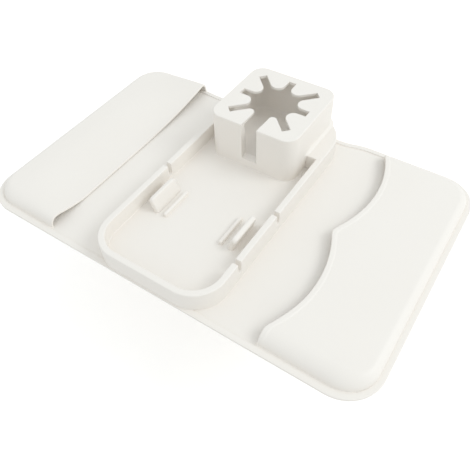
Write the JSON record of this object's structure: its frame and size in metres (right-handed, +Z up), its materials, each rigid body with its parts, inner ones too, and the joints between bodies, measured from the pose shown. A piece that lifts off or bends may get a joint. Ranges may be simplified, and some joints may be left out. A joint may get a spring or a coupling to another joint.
{
  "type": "sofa arm tray",
  "caption": "soft silicone mat that drapes over a sofa arm, with a walled tray, phone rests, a finger-gripped cup holder and a flat pocket on each folding wing",
  "frame": {"origin": "middle of the mat's underside", "axes": "+X across the sofa arm towards the wing with the scalloped pocket, +Y along the arm towards the cup holder, +Z up"},
  "size_m": [0.48, 0.308, 0.0675],
  "materials": {
    "silicone": "satin"
  },
  "bodies": {
    "base": {"deck_mat": "silicone", "tray_floor": "silicone", "tray_wall": "silicone", "cup_block": "silicone", "cup_top_plate": "silicone", "left_phone_ridge": "silicone", "right_phone_ridge": "silicone"},
    "left_wing": {"left_wing_mat": "silicone", "left_pocket": "silicone"},
    "right_wing": {"right_wing_mat": "silicone", "right_pocket": "silicone"},
    "finger_1": {"cup_finger_1": "silicone"},
    "finger_2": {"cup_finger_2": "silicone"},
    "finger_3": {"cup_finger_3": "silicone"},
    "finger_4": {"cup_finger_4": "silicone"},
    "finger_5": {"cup_finger_5": "silicone"},
    "finger_6": {"cup_finger_6": "silicone"},
    "finger_7": {"cup_finger_7": "silicone"},
    "finger_8": {"cup_finger_8": "silicone"},
    "left_backrest": {"left_phone_backrest": "silicone"},
    "right_backrest": {"right_phone_backrest": "silicone"}
  },
  "joints": [
    {"name": "left_wing_fold", "type": "hinge", "parent": "base", "child": "left_wing", "pos_m": [-0.077, 0, 0], "axis": [0, -1, 0], "range_deg": [0, 95]},
    {"name": "right_wing_fold", "type": "hinge", "parent": "base", "child": "right_wing", "pos_m": [0.077, 0, 0], "axis": [0, 1, 0], "range_deg": [0, 95]},
    {"name": "cup_finger_1_bend", "type": "hinge", "parent": "base", "child": "finger_1", "pos_m": [0.04201, 0.07861, 0.0639], "axis": [-0.0849, -0.9964, 0], "range_deg": [0, 70], "stiffness_Nm_per_rad": 0.05},
    {"name": "cup_finger_2_bend", "type": "hinge", "parent": "base", "child": "finger_2", "pos_m": [0.04201, 0.11739, 0.0639], "axis": [0.0849, -0.9964, 0], "range_deg": [0, 70], "stiffness_Nm_per_rad": 0.05},
    {"name": "cup_finger_3_bend", "type": "hinge", "parent": "base", "child": "finger_3", "pos_m": [0.01939, 0.14001, 0.0639], "axis": [0.9964, -0.0849, 0], "range_deg": [0, 70], "stiffness_Nm_per_rad": 0.05},
    {"name": "cup_finger_4_bend", "type": "hinge", "parent": "base", "child": "finger_4", "pos_m": [-0.01939, 0.14001, 0.0639], "axis": [0.9964, 0.0849, 0], "range_deg": [0, 70], "stiffness_Nm_per_rad": 0.05},
    {"name": "cup_finger_5_bend", "type": "hinge", "parent": "base", "child": "finger_5", "pos_m": [-0.04201, 0.11739, 0.0639], "axis": [0.0849, 0.9964, 0], "range_deg": [0, 70], "stiffness_Nm_per_rad": 0.05},
    {"name": "cup_finger_6_bend", "type": "hinge", "parent": "base", "child": "finger_6", "pos_m": [-0.04201, 0.07861, 0.0639], "axis": [-0.0849, 0.9964, 0], "range_deg": [0, 70], "stiffness_Nm_per_rad": 0.05},
    {"name": "cup_finger_7_bend", "type": "hinge", "parent": "base", "child": "finger_7", "pos_m": [-0.02199, 0.05599, 0.0639], "axis": [-0.9947, 0.1031, 0], "range_deg": [0, 70], "stiffness_Nm_per_rad": 0.05},
    {"name": "cup_finger_8_bend", "type": "hinge", "parent": "base", "child": "finger_8", "pos_m": [0.02199, 0.05599, 0.0639], "axis": [-0.9947, -0.1031, 0], "range_deg": [0, 70], "stiffness_Nm_per_rad": 0.05},
    {"name": "left_backrest_bend", "type": "hinge", "parent": "base", "child": "left_backrest", "pos_m": [-0.0497, -0.0505, 0.012], "axis": [0, -1, 0], "range_deg": [-10, 15], "stiffness_Nm_per_rad": 0.08},
    {"name": "right_backrest_bend", "type": "hinge", "parent": "base", "child": "right_backrest", "pos_m": [0.0497, -0.0505, 0.012], "axis": [0, 1, 0], "range_deg": [-10, 15], "stiffness_Nm_per_rad": 0.08}
  ]
}
